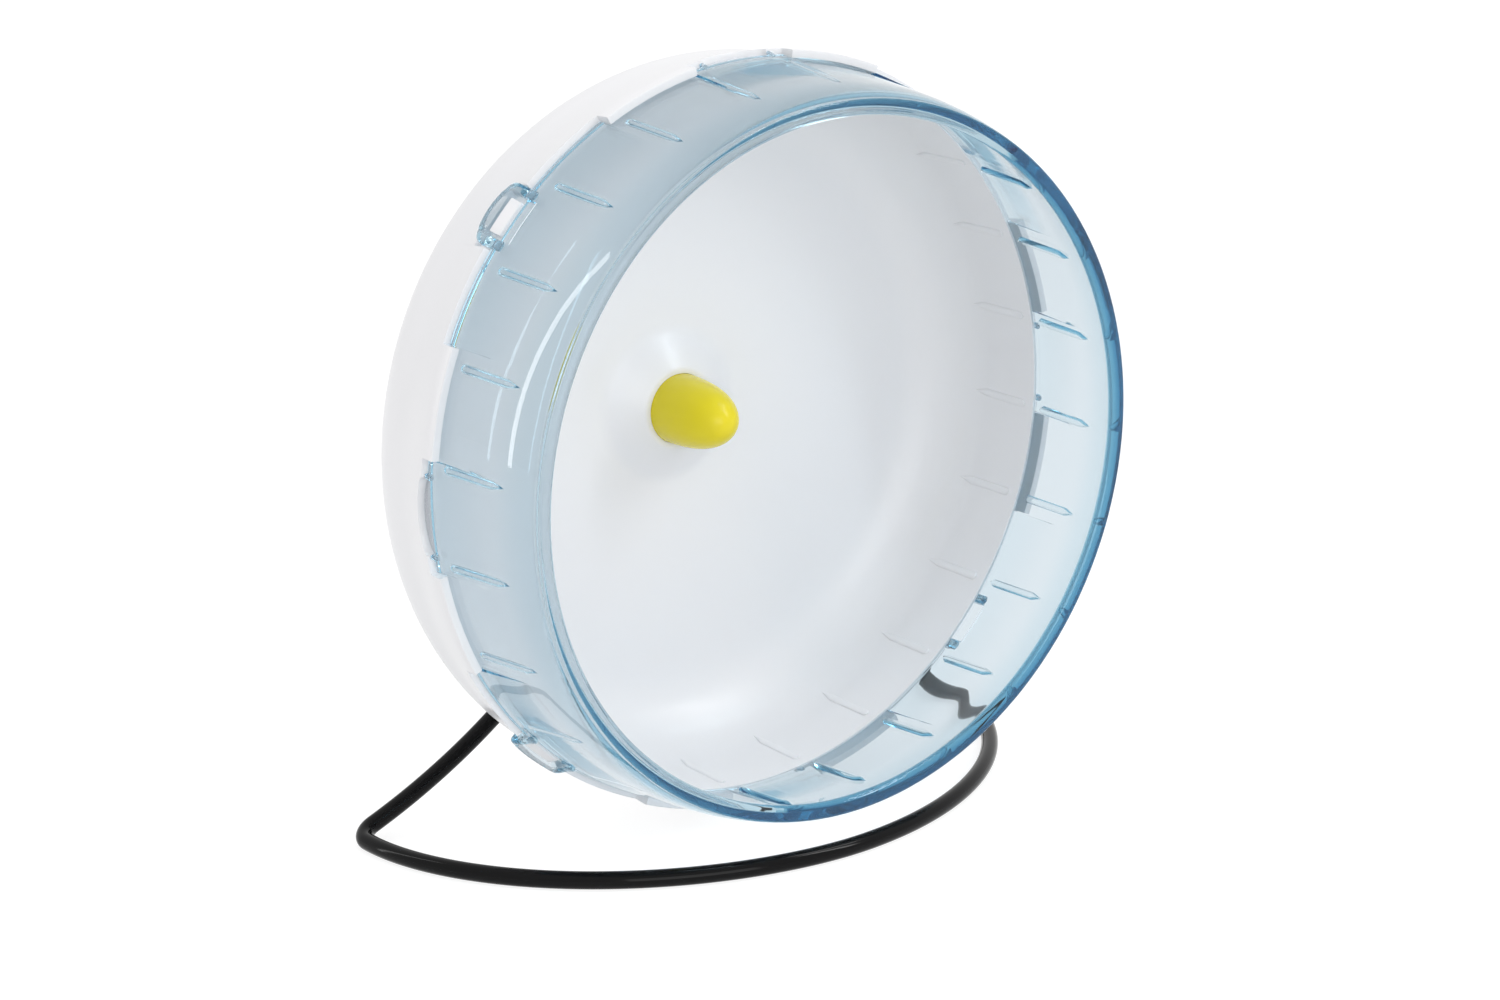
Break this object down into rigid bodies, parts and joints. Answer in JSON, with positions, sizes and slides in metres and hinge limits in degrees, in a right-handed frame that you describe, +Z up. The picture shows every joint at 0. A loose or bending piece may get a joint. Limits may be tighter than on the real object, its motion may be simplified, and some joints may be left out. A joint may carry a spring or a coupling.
{
  "type": "hamster wheel",
  "caption": "Exercise wheel for a small pet: a clear ring snapped on to a solid white dish with running ribs, turning on an axle held by a bent wire stand.",
  "frame": {"origin": "Centre of the bounding box's bottom, on the surface that the stand rests on.", "axes": "+Z up, +Y to the back along the axle, +X to the right as seen from the open front."},
  "size_m": [0.2174, 0.1093, 0.2213],
  "materials": {
    "clear_blue": "clear tinted, polished",
    "white_plastic": "smooth moulded",
    "yellow_plastic": "smooth moulded",
    "grey_plastic": "moulded",
    "steel": "plain",
    "black_coat": "glossy black coating"
  },
  "bodies": {
    "stand": {"axle": "steel", "retaining_ring": "steel", "front_thrust_washer": "steel", "rear_thrust_washer": "steel", "bearing_block_front": "grey_plastic", "bearing_block_rear": "grey_plastic", "clamp_screw_upper": "steel", "clamp_screw_lower": "steel", "axle_nut": "steel", "wire_stand": "black_coat"},
    "drum": {"front_ring": "clear_blue", "back_dish": "white_plastic", "hub_cap": "yellow_plastic", "hub_sleeve": "grey_plastic"}
  },
  "joints": [
    {"name": "drum_spin", "type": "hinge", "parent": "stand", "child": "drum", "pos_m": [0, 0.0264, 0.1126], "axis": [0, 1, 0], "continuous": true}
  ]
}
